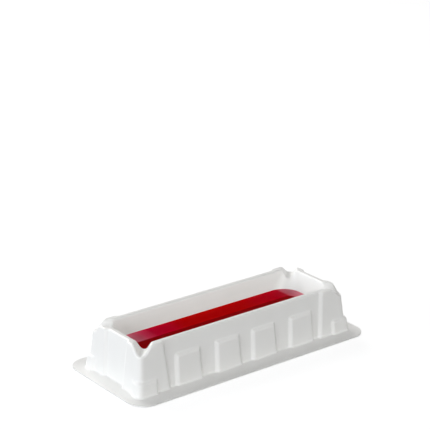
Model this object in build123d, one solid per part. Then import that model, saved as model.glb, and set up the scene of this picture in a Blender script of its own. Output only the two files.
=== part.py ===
from build123d import *
import os
from math import cos, radians, sin, tan

# A disposable reagent reservoir, vacuum-formed from one sheet of white plastic. The sheet makes a flat
# flange, a ribbed outer skirt, a rolled rim that dips to a pouring spout at each corner, and a basin
# with a narrow trough along its floor. It is open underneath. A red liquid lies in the basin.
# Millimetres. The origin is on the ground under the middle, X runs along the length and Z is up.

# Overall
overall_length = 160.0
overall_width = 71.0
rim_height = 27.5
sheet = 0.8  # thickness of the formed sheet

# Flange, and the plain wall of the skirt
flange_corner = 10.0  # radius of the flange's corners
side_flange = 11.6  # flange width from its edge to the long walls
end_flange = 8.8  # flange width from its edge to the end walls
skirt_draft = 5.5  # degrees that the skirt leans in
skirt_corner = 3.0  # radius of the skirt's upright corners
foot_bevel = 0.5  # where the skirt meets the flange

# Panels and corner blocks, which stand proud of the plain wall
rib_depth = 1.6
rib_flank = 48.0  # degrees that their sides lean
rib_edge = 1.6  # radius of their outer edges
rib_root = 1.2  # radius where they meet the wall
middle_panel_gap = 5.8  # plain wall between the two middle panels of a long wall, at their feet
panel_gap = 7.6  # the same between a middle panel and the outer one beside it
end_panel_gap = 2.7  # the same between an outer panel and the corner block
panel_taper = 2.4  # how much narrower a panel is at its top than at its foot
panel_height = 18.6
block_foot_length = 19.6  # a corner block's length on the long wall, at the ground
block_top_length = 17.2  # the same at the rim
block_foot_width = 16.4  # its width on the end wall, at the ground
block_top_width = 15.0  # the same at the rim

# Foot blocks, a second low step at each corner
foot_depth = 1.3  # how far they stand proud of the corner block
foot_length = 12.2
foot_width = 7.7
foot_height = 8.0  # where their sloping top starts
foot_top_rise = 2.6
foot_top_run = 3.0
foot_corner = 3.4
foot_top_corner = 1.7

# Rim and spouts
side_rim = 3.4  # width across the rolled rim of the long walls
end_rim = 3.3  # width across the rolled rim of the end walls
rim_edge = 1.2  # radius of both edges of the rim
spout_depth = 4.8
spout_flank = 59.0  # degrees from level
spout_shoulder = 2.4  # radius where the rim turns down into a spout
spout_throat = 2.2  # radius of a spout's bottom
spout_setback = 1.5  # from the skirt's corner at the rim to the spout's middle, along each wall

# Basin
basin_corner = 4.0  # radius of the basin's upright corners at the rim
shelf_corner = 12.0  # radius of the same corners where the shelf starts
basin_side_slope = 7.0  # degrees that its long walls lean
basin_end_slope = 16.0  # degrees that its end walls lean
shelf_height = 15.5  # where the walls turn into the sloping shelf
shelf_end_run = 4.5  # length of the shelf at each end of the basin
trough_corner = 5.0
trough_width = 11.0
trough_top = 11.5
trough_floor = 3.0
trough_floor_width = 4.4
trough_floor_corner = 2.0
trough_end_run = 4.5  # how much shorter the trough's floor is than its top, at each end
basin_round = 2.0  # radius of the hollow edges
trough_round = 3.0  # radius of the edges where the shelf turns down into the trough

# Liquid
liquid_level = 16.6

# What follows from them
draft = tan(radians(skirt_draft))
wall_x = overall_length / 2 - end_flange
wall_y = overall_width / 2 - side_flange
span = 2 * (wall_x - block_foot_length)  # clear length of a long wall between its corner blocks
panel_foot_width = (span - middle_panel_gap - 2 * panel_gap - 2 * end_panel_gap) / 4
panel_top_width = panel_foot_width - panel_taper
block_x = wall_x + rib_depth
block_y = wall_y + rib_depth
rim_x = wall_x - draft * rim_height - end_rim
rim_y = wall_y - draft * rim_height - side_rim

# Working values
spare = 3.0  # how far a cut runs past the solid
margin = 0.1  # how far from a height an edge still counts as lying at it
nudge = 0.01  # step off an edge that tells an inside corner from an outside one
crease_angle = 20.0  # degrees: faces that meet at less make one smooth surface


def drafted_block(half_x, half_y, corner, depth):
    """Block from below the ground to above the rim, half_x by half_y at the ground."""
    low = -depth
    plan = Rectangle(2 * (half_x - depth - draft * low), 2 * (half_y - depth - draft * low))
    block = extrude(Plane.XY.offset(low) * plan, amount=rim_height + spare - low, taper=skirt_draft)
    upright = block.edges().filter_by(lambda edge: abs(edge.tangent_at(0.5).Z) > 0.5)
    return fillet(upright, corner - depth)


def moved_down(profile, depth):
    """Each straight of a (half width, height) profile moved by depth to its left, with mitred corners."""
    points = [Vector(*point) for point in profile]
    ways = [(b - a).normalized() for a, b in zip(points, points[1:])]
    moved = []
    for point, before, after in zip(points, ways[:1] + ways, ways + ways[-1:]):
        left = Vector(-before.Y - after.Y, before.X + after.X)
        moved.append(point + left * (depth / (1 + before.dot(after))))
    return moved


def stack(levels, depth):
    """Solid through rounded rectangles, each (half_x, half_y, corner, z), with its walls moved by depth."""
    along = moved_down([(half_x, z) for half_x, half_y, corner, z in levels], depth)
    across = moved_down([(half_y, z) for half_x, half_y, corner, z in levels], depth)
    plans = []
    for (half_x, half_y, corner, z), a, b in zip(levels, along, across):
        plan = RectangleRounded(2 * a.X, 2 * b.X, corner + b.X - half_y)
        plans.append(Plane.XY.offset(b.Y) * plan)
    storeys = [loft([low, high], ruled=True) for low, high in zip(plans, plans[1:])]
    return storeys[0].fuse(*storeys[1:])


def boss(wall, outline, depth):
    """Wedge-sided boss on a wall plane, rooted deep enough in the wall to fill its rounded corners."""
    shrink = depth * tan(radians(45 - rib_flank / 2))
    widened = offset(make_face(Polyline(*outline, close=True)),
                     skirt_corner * tan(radians(rib_flank)) - shrink, kind=Kind.INTERSECTION)
    return extrude(wall.offset(-skirt_corner) * widened,
                   amount=skirt_corner + rib_depth + foot_depth + margin, taper=rib_flank)


def at_four_corners(shape):
    pair = shape + mirror(shape, about=Plane.YZ)
    return pair + mirror(pair, about=Plane.XZ)


def ribbed_skirt(depth):
    """Plain wall with its panels, corner blocks and foot blocks, all sharp-edged."""
    lean = radians(skirt_draft)
    side_wall = Plane(origin=(0, depth - wall_y, 0), x_dir=(1, 0, 0), z_dir=(0, -cos(lean), sin(lean)))
    end_wall = Plane(origin=(depth - wall_x, 0, 0), x_dir=(0, -1, 0), z_dir=(-cos(lean), 0, sin(lean)))
    low = -2 * spare
    high = rim_height + 2 * spare
    foot = panel_foot_width / 2
    top = panel_top_width / 2
    panel = boss(side_wall, [(-foot, low), (foot, low), (top, panel_height), (-top, panel_height)], depth)
    inner_panel = (middle_panel_gap + panel_foot_width) / 2
    outer_panel = inner_panel + panel_foot_width + panel_gap
    panels = at_four_corners(Pos(inner_panel, 0, 0) * panel + Pos(outer_panel, 0, 0) * panel)

    def corner_boss(wall, half, reach_low, reach_high):
        far = half + 2 * spare
        slant = (reach_low - reach_high) / rim_height
        outline = [(-far, low), (reach_low - half - slant * low, low),
                   (reach_low - half - slant * high, high), (-far, high)]
        return boss(wall, outline, depth)

    blocks = at_four_corners(
        corner_boss(side_wall, wall_x, block_foot_length, block_top_length)
        + mirror(corner_boss(end_wall, wall_y, block_foot_width, block_top_width), about=Plane.XZ))
    feet = at_four_corners(
        corner_boss(side_wall, wall_x, foot_length, foot_length)
        + mirror(corner_boss(end_wall, wall_y, foot_width, foot_width), about=Plane.XZ))
    shoulder = drafted_block(block_x, block_y, skirt_corner, depth) & (panels + blocks)
    foot_x = block_x + foot_depth
    foot_y = block_y + foot_depth
    steps = [(0, -2 * depth, foot_corner), (0, foot_height, foot_corner),
             (foot_top_run, foot_height + foot_top_rise, foot_top_corner)]
    levels = [(foot_x - draft * z - run, foot_y - draft * z - run, corner, z) for run, z, corner in steps]
    plain = drafted_block(wall_x, wall_y, skirt_corner, depth)
    return plain + shoulder + (stack(levels, depth) & feet)


def creases(body, low, high, hollow):
    """Sharp edges with their middle between two heights: inside corners if hollow, or else outside ones."""
    faces_at = {}
    for face in body.faces():
        for edge in face.edges():
            faces_at.setdefault(edge, []).append(face)
    solid = body.solid()
    found = ShapeList()
    for edge, faces in faces_at.items():
        middle = edge.position_at(0.5)
        if len(faces) == 2 and low < middle.Z < high:
            first, second = [face.normal_at(middle) for face in faces]
            sharp = first.dot(second) < cos(radians(crease_angle))
            if sharp and solid.is_inside(middle + (first - second) * nudge) == hollow:
                found.append(edge)
    return found


def spout(depth):
    """What is cut away over the spout of the corner at -X -Y, and a little of the room above."""
    angle = radians(spout_flank)
    shoulder = spout_shoulder - depth
    throat = spout_throat + depth
    throat_end = Vector(throat * sin(angle), throat * (1 - cos(angle)) - spout_depth)
    slope_top = -shoulder * (1 - cos(angle))
    slope_end = Vector(throat_end.X + (slope_top - throat_end.Y) / tan(angle), slope_top)
    level = slope_end.X + shoulder * sin(angle)
    bend = Vector(level - shoulder * sin(angle / 2), -shoulder * (1 - cos(angle / 2)))
    half = [Line(throat_end, slope_end), ThreePointArc(slope_end, bend, (level, 0))]
    lid = Polyline((level, 0), (level, 2 * spare), (-level, 2 * spare), (-level, 0))
    bottom = ThreePointArc((-throat_end.X, throat_end.Y), (0, -spout_depth), throat_end)
    section = make_face([bottom, *half, *[mirror(line, about=Plane.YZ) for line in half], lid])
    corner_x = block_x - draft * rim_height - spout_setback
    corner_y = block_y - draft * rim_height - spout_setback
    across = Plane(origin=(-corner_x, -corner_y, rim_height - depth), x_dir=(-1, 1, 0), z_dir=(1, 1, 0))
    reach = basin_corner + end_rim + 2 * spare
    return extrude(across * section, amount=reach, both=True)


def basin(depth):
    """The room inside the basin, from the trough's floor to above the rim."""
    lean_x = tan(radians(basin_end_slope))
    lean_y = tan(radians(basin_side_slope))
    fall = rim_height - shelf_height
    shelf_x = rim_x - lean_x * fall
    shelf_y = rim_y - lean_y * fall
    trough_x = shelf_x - shelf_end_run
    levels = [
        (rim_x + lean_x * spare, rim_y + lean_y * spare, basin_corner, rim_height + spare),
        (shelf_x, shelf_y, shelf_corner, shelf_height),
        (trough_x, trough_width / 2, trough_corner, trough_top),
        (trough_x - trough_end_run, trough_floor_width / 2, trough_floor_corner, trough_floor),
    ]
    room = stack(levels, depth)
    if depth == 0:
        room = fillet(creases(room, 0, rim_height, False), basin_round)
        room = fillet(creases(room, 0, rim_height, True), trough_round)
    return room


def form(depth):
    """Everything under the sheet's upper face, or under its lower face where depth is the sheet's own.

    Edges are rounded on the upper face alone: the sheet thins out over them, as it does on the mould.
    """
    body = ribbed_skirt(depth)
    if depth == 0:
        body = fillet(creases(body, margin, rim_height, False), rib_edge)
        body = fillet(creases(body, margin, rim_height, True), rib_root)
    flange_plan = RectangleRounded(overall_length + 2 * depth, overall_width + 2 * depth, flange_corner)
    body = body + extrude(Plane.XY.offset(-depth) * flange_plan, amount=sheet)
    if depth == 0:
        body = chamfer(creases(body, sheet - margin, sheet + margin, True), foot_bevel)
    above = extrude(Plane.XY.offset(rim_height - depth) * Rectangle(overall_length, overall_width),
                    amount=2 * spare)
    body = body - (at_four_corners(spout(depth)) + above) - basin(depth)
    if depth == 0:
        body = fillet(creases(body, rim_height - 2 * spout_depth, rim_height, False), rim_edge)
    return body


upper = form(0)
reservoir = upper - form(sheet)
liquid_box = Pos(0, 0, liquid_level / 2) * Box(2 * (rim_x + 1), 2 * (rim_y + 1), liquid_level)
red_reagent = liquid_box - upper

os.makedirs("parts", exist_ok=True)
export_step(reservoir, "parts/reservoir.step")
export_step(red_reagent, "parts/red_reagent.step")
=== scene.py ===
import math

import bpy
from mathutils import Matrix, Vector


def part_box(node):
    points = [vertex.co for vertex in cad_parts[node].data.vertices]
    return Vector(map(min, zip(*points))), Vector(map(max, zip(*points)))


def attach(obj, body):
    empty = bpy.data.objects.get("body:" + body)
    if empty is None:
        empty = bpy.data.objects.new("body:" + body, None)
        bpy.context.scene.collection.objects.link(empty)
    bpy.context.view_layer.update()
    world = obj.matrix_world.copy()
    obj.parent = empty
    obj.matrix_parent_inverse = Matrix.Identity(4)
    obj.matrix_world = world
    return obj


# Reagent reservoir: one formed white sheet with a still red liquid in its basin
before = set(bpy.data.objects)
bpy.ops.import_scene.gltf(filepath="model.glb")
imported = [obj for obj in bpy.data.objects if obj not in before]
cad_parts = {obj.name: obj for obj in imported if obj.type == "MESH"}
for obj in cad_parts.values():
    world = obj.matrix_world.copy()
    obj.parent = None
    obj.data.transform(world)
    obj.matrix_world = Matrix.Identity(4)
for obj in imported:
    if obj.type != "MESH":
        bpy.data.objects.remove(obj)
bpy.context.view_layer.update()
mm = 0.001
print("frame loaded:", sorted(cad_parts))


def toLinear(hexColour):
    channels = [int(hexColour[i:i + 2], 16) / 255 for i in (1, 3, 5)]
    return tuple(c / 12.92 if c <= 0.04045 else ((c + 0.055) / 1.055) ** 2.4 for c in channels) + (1.0,)


def addNode(tree, kind, settings=None, inputs=None):
    # inputs may be values, or sockets of other nodes to link from
    node = tree.nodes.new(kind)
    for name, value in (settings or {}).items():
        setattr(node, name, value)
    for name, value in (inputs or {}).items():
        socket = node.inputs[name]
        if isinstance(value, bpy.types.NodeSocket):
            tree.links.new(value, socket)
        else:
            socket.default_value = value
    return node


def newMaterial(name):
    material = bpy.data.materials.new(name)
    material.use_nodes = True
    tree = material.node_tree
    tree.nodes.clear()
    return material, tree


def cover(nodeName, material):
    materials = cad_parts[nodeName].data.materials
    materials.clear()
    materials.append(material)


# White sheet
sheet = dict(
    colour="#F1F1F0",
    shadeColour="#ECECEA",      # where the sheet is drawn thinnest
    roughness=0.34,
    ior=1.59,                   # polystyrene
    waveSize=14 * mm,           # slow waviness of a formed wall
    waveDepth=0.05 * mm,
    waveDetail=1.0,
    waveRoughness=0.4,
    grainSize=0.9 * mm,         # satin grain of the mould, drawn coarser than it is so that it shows
    grainDepth=0.004 * mm,
    grainDetail=2.0,
)


def formedPolystyrene():
    # High-impact polystyrene, vacuum-formed: bright neutral white, a soft satin sheen and slightly wavy walls
    material, tree = newMaterial("whiteFormedPolystyrene")
    place = addNode(tree, "ShaderNodeTexCoord").outputs["Object"]
    wave = addNode(tree, "ShaderNodeTexNoise", inputs={
        "Vector": place, "Scale": 1 / sheet["waveSize"], "Detail": sheet["waveDetail"],
        "Roughness": sheet["waveRoughness"]})
    grain = addNode(tree, "ShaderNodeTexNoise", inputs={
        "Vector": place, "Scale": 1 / sheet["grainSize"], "Detail": sheet["grainDetail"]})
    waveBump = addNode(tree, "ShaderNodeBump", inputs={
        "Strength": 1.0, "Distance": sheet["waveDepth"], "Height": wave.outputs["Fac"]})
    grainBump = addNode(tree, "ShaderNodeBump", inputs={
        "Strength": 1.0, "Distance": sheet["grainDepth"], "Height": grain.outputs["Fac"],
        "Normal": waveBump.outputs["Normal"]})
    tint = addNode(tree, "ShaderNodeMix", {"data_type": "RGBA"})
    tree.links.new(wave.outputs["Fac"], tint.inputs["Factor"])
    tint.inputs["A"].default_value = toLinear(sheet["shadeColour"])
    tint.inputs["B"].default_value = toLinear(sheet["colour"])
    surface = addNode(tree, "ShaderNodeBsdfPrincipled", inputs={
        "Base Color": tint.outputs["Result"], "Roughness": sheet["roughness"], "IOR": sheet["ior"],
        "Normal": grainBump.outputs["Normal"]})
    addNode(tree, "ShaderNodeOutputMaterial", inputs={"Surface": surface.outputs["BSDF"]})
    return material


cover("reservoir", formedPolystyrene())
print("sheet finished")

# Red liquid
liquid = dict(
    # colour along the basin, at places from its middle: the red between is the liquid's own, the pale pink
    # towards both ends is painted reflection of the bright end walls and painted light
    redWithPaintedReflection=((-60 * mm, "#EC8E9C"), (-50 * mm, "#E67287"), (-44 * mm, "#EA3F63"), (-38 * mm, "#D90436"),
             (-32 * mm, "#DA002B"), (-26 * mm, "#D70026"), (-20 * mm, "#D20009"), (-14 * mm, "#D40001"),
             (22 * mm, "#D30002"), (28 * mm, "#D30006"), (34 * mm, "#D50013"), (48 * mm, "#D1001E"),
             (53.6 * mm, "#CD102E"), (55.4 * mm, "#D36272"), (60 * mm, "#D57C8A")),
    grooveColour="#960003",
    grooveHalfLength=55.8 * mm,
    grooveHalfWidth=5.25 * mm,
    grooveCorner=3.5 * mm,
    grooveBlur=1.6 * mm,
    roughness=0.05,
    ior=1.33,
    specular=0.004,             # a full mirror of the white walls would wash the red out
    bounce="#D2CAC7",           # what the white walls get back from it, toned down or they would turn pink
)


def dyedWater():
    # Water with a strong red dye: nearly opaque and darker over the deep groove, with painted reflection and
    # painted light making it paler towards both ends
    material, tree = newMaterial("redDyedWater")
    place = addNode(tree, "ShaderNodeTexCoord").outputs["Object"]
    axes = addNode(tree, "ShaderNodeSeparateXYZ", inputs={"Vector": place})
    start, end = liquid["redWithPaintedReflection"][0][0], liquid["redWithPaintedReflection"][-1][0]
    # colour by place along the basin, with the painted reflection and painted light towards its ends
    along = addNode(tree, "ShaderNodeMapRange", inputs={
        "Value": axes.outputs["X"], "From Min": start, "From Max": end})
    ramp = addNode(tree, "ShaderNodeValToRGB", inputs={"Fac": along.outputs["Result"]})
    stops = ramp.color_ramp.elements
    stops.remove(stops[1])
    for x, colour in liquid["redWithPaintedReflection"]:
        share = (x - start) / (end - start)
        stop = stops.new(share) if share > 0 else stops[0]
        stop.position = share
        stop.color = toLinear(colour)

    # distance outside the groove's outline, a slot with round ends
    reach = addNode(tree, "ShaderNodeVectorMath", {"operation": "ABSOLUTE"}, {0: place})
    corner = liquid["grooveCorner"]
    anyHeight = 1.0             # metres, so that only the plan counts
    core = (liquid["grooveHalfLength"] - corner, liquid["grooveHalfWidth"] - corner, anyHeight)
    past = addNode(tree, "ShaderNodeVectorMath", {"operation": "SUBTRACT"}, {
        0: reach.outputs["Vector"], 1: core})
    beyond = addNode(tree, "ShaderNodeVectorMath", {"operation": "MAXIMUM"}, {
        0: past.outputs["Vector"], 1: (0, 0, 0)})
    distance = addNode(tree, "ShaderNodeVectorMath", {"operation": "LENGTH"}, {0: beyond.outputs["Vector"]})
    groove = addNode(tree, "ShaderNodeMapRange", {"interpolation_type": "SMOOTHSTEP"}, {
        "Value": distance.outputs["Value"], "From Min": corner - liquid["grooveBlur"] / 2,
        "From Max": corner + liquid["grooveBlur"] / 2, "To Min": 1.0, "To Max": 0.0})
    mixed = addNode(tree, "ShaderNodeMix", {"data_type": "RGBA"})
    tree.links.new(groove.outputs["Result"], mixed.inputs["Factor"])
    tree.links.new(ramp.outputs["Color"], mixed.inputs["A"])
    mixed.inputs["B"].default_value = toLinear(liquid["grooveColour"])

    # only the light that it throws back onto the sheet is toned down
    toned = addNode(tree, "ShaderNodeMix", {"data_type": "RGBA"})
    tree.links.new(addNode(tree, "ShaderNodeLightPath").outputs["Is Diffuse Ray"], toned.inputs["Factor"])
    tree.links.new(mixed.outputs["Result"], toned.inputs["A"])
    toned.inputs["B"].default_value = toLinear(liquid["bounce"])
    surface = addNode(tree, "ShaderNodeBsdfPrincipled", inputs={
        "Base Color": toned.outputs["Result"], "Roughness": liquid["roughness"], "IOR": liquid["ior"],
        "Specular IOR Level": liquid["specular"]})
    addNode(tree, "ShaderNodeOutputMaterial", inputs={"Surface": surface.outputs["BSDF"]})
    return material


water = dyedWater()
cover("red_reagent", water)

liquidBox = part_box("red_reagent")
meniscus = {
    "Half Length": liquidBox[1].x,
    "Half Width": liquidBox[1].y,
    "Level": liquidBox[1].z,
    "Corner Radius": 11.4 * mm,
    "Corner Steps": 14,
    "Sunk": 0.2 * mm,           # how far its outer edge is tucked into the wall
    "Reach": 2.4 * mm,          # how far from the wall the surface is still again
    "Climb": 0.35 * mm,
    "Fall": 2.6,                # how quickly the climb dies away
    "Skin": 0.25 * mm,          # how far its underside lies in the liquid
    "Section Steps": 12,
    "Finish": water,
}


def meniscusTree():
    # Where the liquid wets the wall it climbs a little: one section, swept round the waterline
    tree = bpy.data.node_groups.new("meniscus", "GeometryNodeTree")
    kinds = {"Corner Steps": "Int", "Section Steps": "Int", "Finish": "Material"}
    names = {}
    for name in meniscus:
        kind = "NodeSocket" + kinds.get(name, "Float")
        names[name] = tree.interface.new_socket(name, in_out="INPUT", socket_type=kind).identifier
    tree.interface.new_socket("Geometry", in_out="OUTPUT", socket_type="NodeSocketGeometry")
    given = addNode(tree, "NodeGroupInput").outputs

    def calc(operation, *values):
        return addNode(tree, "ShaderNodeMath", {"operation": operation}, dict(enumerate(values))).outputs[0]

    rectangle = addNode(tree, "GeometryNodeCurvePrimitiveQuadrilateral", {"mode": "RECTANGLE"}, {
        "Width": calc("MULTIPLY", given["Half Length"], 2.0),
        "Height": calc("MULTIPLY", given["Half Width"], 2.0)})
    rounded = addNode(tree, "GeometryNodeFilletCurve", {"mode": "POLY"}, {
        "Curve": rectangle.outputs["Curve"], "Count": given["Corner Steps"],
        "Radius": given["Corner Radius"]})
    lift = addNode(tree, "ShaderNodeCombineXYZ", inputs={"Z": given["Level"]})
    lifted = addNode(tree, "GeometryNodeTransform", inputs={
        "Geometry": rounded.outputs["Curve"], "Translation": lift.outputs["Vector"]})
    waterline = addNode(tree, "GeometryNodeSetCurveNormal", {"mode": "Z_UP"}, {
        "Curve": lifted.outputs["Geometry"]})

    # the section starts in the wall, runs down to the still surface and comes back under it by two more points
    line = addNode(tree, "GeometryNodeMeshLine", {"mode": "OFFSET"}, {
        "Count": calc("ADD", given["Section Steps"], 2.0)})
    index = addNode(tree, "GeometryNodeInputIndex").outputs["Index"]
    lastStep = calc("SUBTRACT", given["Section Steps"], 1.0)
    outAndBack = calc("SUBTRACT", 1.0, calc("MAXIMUM", calc("SUBTRACT", index, given["Section Steps"]), 0.0))
    way = calc("MINIMUM", calc("DIVIDE", index, lastStep), outAndBack)
    under = calc("GREATER_THAN", index, lastStep)
    width = calc("ADD", given["Reach"], given["Sunk"])
    outward = calc("SUBTRACT", given["Sunk"], calc("MULTIPLY", way, width))
    climb = calc("MULTIPLY", given["Climb"], calc("POWER", calc("SUBTRACT", 1.0, way), given["Fall"]))
    drop = calc("SUBTRACT", calc("MULTIPLY", under, given["Skin"]),
                calc("MULTIPLY", climb, calc("SUBTRACT", 1.0, under)))
    place = addNode(tree, "ShaderNodeCombineXYZ", inputs={"X": outward, "Y": drop})
    bent = addNode(tree, "GeometryNodeSetPosition", inputs={
        "Geometry": line.outputs["Mesh"], "Position": place.outputs["Vector"]})
    openSection = addNode(tree, "GeometryNodeMeshToCurve", inputs={"Mesh": bent.outputs["Geometry"]})
    section = addNode(tree, "GeometryNodeSetSplineCyclic", inputs={
        "Geometry": openSection.outputs["Curve"], "Cyclic": True})
    swept = addNode(tree, "GeometryNodeCurveToMesh", inputs={
        "Curve": waterline.outputs["Curve"], "Profile Curve": section.outputs["Geometry"]})
    outwards = addNode(tree, "GeometryNodeFlipFaces", inputs={"Mesh": swept.outputs["Mesh"]})
    whole = addNode(tree, "GeometryNodeRealizeInstances", inputs={"Geometry": outwards.outputs["Mesh"]})
    finished = addNode(tree, "GeometryNodeSetMaterial", inputs={
        "Geometry": whole.outputs["Geometry"], "Material": given["Finish"]})
    addNode(tree, "NodeGroupOutput", inputs={"Geometry": finished.outputs["Geometry"]})
    return tree, names


def plainPiece(name, tree, names, values):
    # runs a node tree on an empty mesh and keeps its result as a plain mesh
    maker = bpy.data.objects.new(name + "Maker", bpy.data.meshes.new(name + "Maker"))
    bpy.context.scene.collection.objects.link(maker)
    modifier = maker.modifiers.new(name, "NODES")
    modifier.node_group = tree
    for label, value in values.items():
        modifier[names[label]] = value
    graph = bpy.context.evaluated_depsgraph_get()
    mesh = bpy.data.meshes.new_from_object(
        maker.evaluated_get(graph), preserve_all_data_layers=True, depsgraph=graph)
    maker.modifiers.remove(modifier)
    bpy.data.objects.remove(maker)
    mesh.name = name
    for face in mesh.polygons:
        face.use_smooth = True
    piece = bpy.data.objects.new(name, mesh)
    bpy.context.scene.collection.objects.link(piece)
    return piece


meniscusPiece = plainPiece("meniscus", *meniscusTree(), meniscus)
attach(meniscusPiece, "root")
print("liquid finished:", len(meniscusPiece.data.polygons), "faces in the meniscus")

# Studio: a pale paper floor with soft lamps all round
studio = dict(
    floorSize=6.0,
    floorDrop=0.2 * mm,         # keeps the paper clear of the flange's underside
    floorColour="#98999A",
    floorGlow=0.82,             # lifts the paper to white where it is looked at; the shadow stays
    lampSize=0.7,
    lampDistance=1.3,
    lampTarget=(0, 0, 15 * mm),
    # name, azimuth from the front, elevation, watts, colour
    lamps=(("front", -5, 33, 5.3, "#FFFEFC"), ("frontLeft", -65, 12, 7.95, "#FBFDFF"),
           ("left", -112, 9.5, 9.2, "#F6FAFF"), ("back", 180, 34, 11.3, "#FFFDFA"),
           ("frontRight", 40, 20, 2.1, "#FFFEFC"), ("right", 95, 10, 1.4, "#FFFEFC"),
           ("top", 0, 90, 0.8, "#FFFFFF")),
)


def whereSeen(tree):
    # 1 where a thing is looked at, straight, mirrored or through a clear body; 0 for the light it gives
    path = addNode(tree, "ShaderNodeLightPath").outputs
    mirrored = addNode(tree, "ShaderNodeMath", {"operation": "MAXIMUM"}, {
        0: path["Is Camera Ray"], 1: path["Is Glossy Ray"]})
    return addNode(tree, "ShaderNodeMath", {"operation": "MAXIMUM"}, {
        0: mirrored.outputs[0], 1: path["Is Transmission Ray"]}).outputs[0]


def floorMaterial():
    # Matt white paper: a plain pale ground that takes the object's soft shadow
    material, tree = newMaterial("whitePaperFloor")
    strength = addNode(tree, "ShaderNodeMath", {"operation": "MULTIPLY"}, {
        0: whereSeen(tree), 1: studio["floorGlow"]})
    paper = addNode(tree, "ShaderNodeBsdfDiffuse", inputs={"Color": toLinear(studio["floorColour"])})
    glow = addNode(tree, "ShaderNodeEmission", inputs={"Strength": strength.outputs[0]})
    both = addNode(tree, "ShaderNodeAddShader", inputs={0: paper.outputs[0], 1: glow.outputs[0]})
    addNode(tree, "ShaderNodeOutputMaterial", inputs={"Surface": both.outputs[0]})
    return material


half = studio["floorSize"] / 2
floorMesh = bpy.data.meshes.new("floor")
floorMesh.from_pydata(
    [(-half, -half, 0), (half, -half, 0), (half, half, 0), (-half, half, 0)], [], [(0, 1, 2, 3)])
floorMesh.materials.append(floorMaterial())
floor = bpy.data.objects.new("floor", floorMesh)
floor.location.z = -studio["floorDrop"]
bpy.context.scene.collection.objects.link(floor)

# the world lights nothing by itself; it is only a white view behind and in reflections
world = bpy.data.worlds.new("studio")
bpy.context.scene.world = world
world.use_nodes = True
worldTree = world.node_tree
worldTree.nodes.clear()
sky = addNode(worldTree, "ShaderNodeBackground", inputs={
    "Color": toLinear("#FFFFFF"), "Strength": whereSeen(worldTree)})
addNode(worldTree, "ShaderNodeOutputWorld", inputs={"Surface": sky.outputs[0]})


def fromAngles(azimuth, elevation):
    # direction towards a place round the object: azimuth 0 is the front, 90 the right, 180 the back
    a, e = math.radians(azimuth), math.radians(elevation)
    return Vector((math.sin(a) * math.cos(e), -math.cos(a) * math.cos(e), math.sin(e)))


for name, azimuth, elevation, watts, colour in studio["lamps"]:
    softbox = bpy.data.lights.new(name, "AREA")
    softbox.shape = "SQUARE"
    softbox.size = studio["lampSize"]
    softbox.energy = watts
    softbox.color = toLinear(colour)[:3]
    lamp = bpy.data.objects.new(name, softbox)
    lamp.location = fromAngles(azimuth, elevation) * studio["lampDistance"]
    lamp.rotation_euler = (Vector(studio["lampTarget"]) - lamp.location).to_track_quat("-Z", "Y").to_euler()
    bpy.context.scene.collection.objects.link(lamp)
print("studio lit")

# Camera
view = dict(
    azimuth=-37.39,
    elevation=19.72,
    roll=-0.19,
    distance=875.7 * mm,
    lookRight=-2.95 * mm,       # the point looked at, from the middle of the base
    lookUp=75.03 * mm,
    lens=130.5,                 # millimetres, on a full-frame sensor
    sensorWidth=36,
)
back = fromAngles(view["azimuth"], view["elevation"])
level = Vector((0, 0, 1)).cross(back).normalized()
upright = back.cross(level)
roll = math.radians(view["roll"])
right = level * math.cos(roll) + upright * math.sin(roll)
up = upright * math.cos(roll) - level * math.sin(roll)
cameraData = bpy.data.cameras.new("camera")
cameraData.lens = view["lens"]
cameraData.sensor_width = view["sensorWidth"]
camera = bpy.data.objects.new("camera", cameraData)
place = back * view["distance"] + right * view["lookRight"] + up * view["lookUp"]
turn = Matrix((right, up, back)).transposed().to_4x4()
camera.matrix_world = Matrix.Translation(place) @ turn
bpy.context.scene.collection.objects.link(camera)
bpy.context.scene.camera = camera
bpy.context.scene.view_settings.view_transform = "Standard"
print("camera placed")
